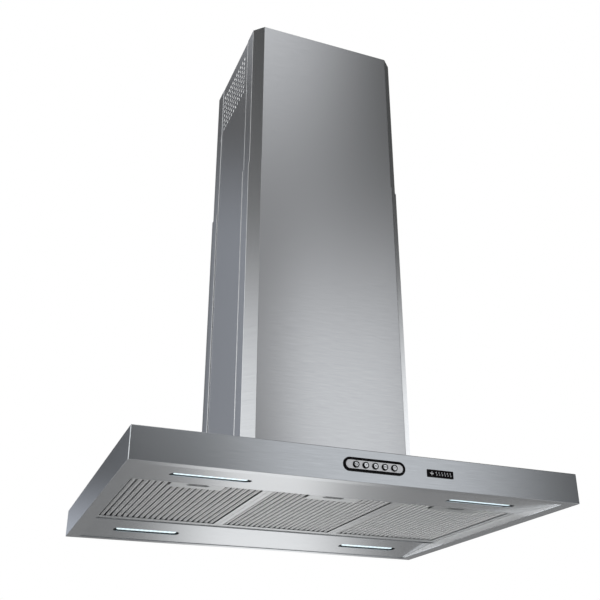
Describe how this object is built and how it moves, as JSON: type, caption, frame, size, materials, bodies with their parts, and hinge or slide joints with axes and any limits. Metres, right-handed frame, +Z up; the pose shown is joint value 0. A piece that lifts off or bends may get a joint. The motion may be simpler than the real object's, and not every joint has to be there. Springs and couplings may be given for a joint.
{
  "type": "island range hood",
  "caption": "Ceiling-hung island range hood: slim rectangular canopy with baffle filters, bar lights and push buttons under a telescoping chamfered chimney.",
  "frame": {"origin": "centre of the ceiling plate's top face, between its four bolt holes", "axes": "+Z up into the ceiling, -Y towards the user at the control panel, +X to the user's right"},
  "size_m": [0.75, 0.6036, 0.988],
  "materials": {
    "brushed_cover": "brushed",
    "brushed_canopy": "brushed",
    "filter_steel": "satin",
    "galvanised_steel": "matte",
    "screw_steel": "polished",
    "lamp_tray": "gloss",
    "circuit_board": "matte",
    "lamp_lens": "frosted",
    "gloss_black": "gloss",
    "silver_plate": "satin",
    "button_metal": "satin",
    "black_moulding": "matte",
    "motor_enamel": "semi-gloss",
    "flap_aluminium": "satin",
    "box_white": "matte"
  },
  "bodies": {
    "ceiling_unit": {"ceiling_plate": "galvanised_steel", "upper_uprights": "galvanised_steel", "upper_cover_front": "brushed_cover", "upper_cover_rear": "brushed_cover", "upper_side_panel_left": "brushed_cover", "upper_side_panel_right": "brushed_cover", "upper_cover_clips": "galvanised_steel", "upper_cover_screws": "screw_steel"},
    "filter_left": {"filter_frame_left": "filter_steel", "baffles_left": "filter_steel"},
    "latch_left": {"filter_latch_left": "filter_steel"},
    "filter_middle": {"filter_frame_middle": "filter_steel", "baffles_middle": "filter_steel"},
    "latch_middle": {"filter_latch_middle": "filter_steel"},
    "filter_right": {"filter_frame_right": "filter_steel", "baffles_right": "filter_steel"},
    "latch_right": {"filter_latch_right": "filter_steel"},
    "button_1": {"button_1": "button_metal"},
    "button_2": {"button_2": "button_metal"},
    "button_3": {"button_3": "button_metal"},
    "button_4": {"button_4": "button_metal"},
    "button_5": {"button_5": "button_metal"},
    "blower_wheel": {"impeller": "black_moulding", "motor_shaft": "screw_steel"},
    "damper_front": {"damper_flap_front": "flap_aluminium"},
    "damper_rear": {"damper_flap_rear": "flap_aluminium"},
    "hood_unit": {"lower_cover_front": "brushed_cover", "lower_cover_rear": "brushed_cover", "lower_side_panel_left": "brushed_cover", "lower_side_panel_right": "brushed_cover", "canopy_shell": "brushed_canopy", "light_panel_front": "brushed_canopy", "light_panel_rear": "brushed_canopy", "side_rail_left": "brushed_canopy", "side_rail_right": "brushed_canopy", "lower_uprights": "galvanised_steel", "frame_feet": "galvanised_steel", "tie_ring": "galvanised_steel", "lower_cover_clips": "galvanised_steel", "blower_box": "galvanised_steel", "blower_box_roof": "galvanised_steel", "scroll_housing": "galvanised_steel", "motor_bracket": "galvanised_steel", "outlet_collar": "galvanised_steel", "damper_pin": "screw_steel", "led_housings": "lamp_tray", "led_boards": "circuit_board", "led_lens_front_left": "lamp_lens", "led_lens_front_right": "lamp_lens", "led_lens_rear_left": "lamp_lens", "led_lens_rear_right": "lamp_lens", "control_bezel": "gloss_black", "badge": "gloss_black", "control_plate": "silver_plate", "switch_body": "black_moulding", "cable_gland": "black_moulding", "inlet_rings": "black_moulding", "motor": "motor_enamel", "control_box": "box_white"}
  },
  "joints": [
    {"name": "height_slide", "type": "slide", "parent": "ceiling_unit", "child": "hood_unit", "axis": [0, 0, 1], "range_m": [0, 0.19]},
    {"name": "filter_left_hinge", "type": "hinge", "parent": "hood_unit", "child": "filter_left", "pos_m": [-0.2328, 0.1554, -0.9756], "axis": [1, 0, 0], "range_deg": [0, 80]},
    {"name": "latch_left_slide", "type": "slide", "parent": "filter_left", "child": "latch_left", "axis": [0, 1, 0], "range_m": [0, 0.005], "stiffness_N_per_m": 300, "springref_m": -0.002},
    {"name": "filter_middle_hinge", "type": "hinge", "parent": "hood_unit", "child": "filter_middle", "pos_m": [0, 0.1554, -0.9756], "axis": [1, 0, 0], "range_deg": [0, 80]},
    {"name": "latch_middle_slide", "type": "slide", "parent": "filter_middle", "child": "latch_middle", "axis": [0, 1, 0], "range_m": [0, 0.005], "stiffness_N_per_m": 300, "springref_m": -0.002},
    {"name": "filter_right_hinge", "type": "hinge", "parent": "hood_unit", "child": "filter_right", "pos_m": [0.2328, 0.1554, -0.9756], "axis": [1, 0, 0], "range_deg": [0, 80]},
    {"name": "latch_right_slide", "type": "slide", "parent": "filter_right", "child": "latch_right", "axis": [0, 1, 0], "range_m": [0, 0.005], "stiffness_N_per_m": 300, "springref_m": -0.002},
    {"name": "button_1_press", "type": "slide", "parent": "hood_unit", "child": "button_1", "axis": [0, 1, 0], "range_m": [0, 0.002], "stiffness_N_per_m": 500, "springref_m": -0.001},
    {"name": "button_2_press", "type": "slide", "parent": "hood_unit", "child": "button_2", "axis": [0, 1, 0], "range_m": [0, 0.002], "stiffness_N_per_m": 500, "springref_m": -0.001},
    {"name": "button_3_press", "type": "slide", "parent": "hood_unit", "child": "button_3", "axis": [0, 1, 0], "range_m": [0, 0.002], "stiffness_N_per_m": 500, "springref_m": -0.001},
    {"name": "button_4_press", "type": "slide", "parent": "hood_unit", "child": "button_4", "axis": [0, 1, 0], "range_m": [0, 0.002], "stiffness_N_per_m": 500, "springref_m": -0.001},
    {"name": "button_5_press", "type": "slide", "parent": "hood_unit", "child": "button_5", "axis": [0, 1, 0], "range_m": [0, 0.002], "stiffness_N_per_m": 500, "springref_m": -0.001},
    {"name": "blower_spin", "type": "hinge", "parent": "hood_unit", "child": "blower_wheel", "pos_m": [0, 0.026, -0.826], "axis": [1, 0, 0], "continuous": true},
    {"name": "damper_front_hinge", "type": "hinge", "parent": "hood_unit", "child": "damper_front", "pos_m": [0, 0, -0.668], "axis": [-1, 0, 0], "range_deg": [0, 75]},
    {"name": "damper_rear_hinge", "type": "hinge", "parent": "hood_unit", "child": "damper_rear", "pos_m": [0, 0, -0.668], "axis": [1, 0, 0], "range_deg": [0, 75]}
  ]
}
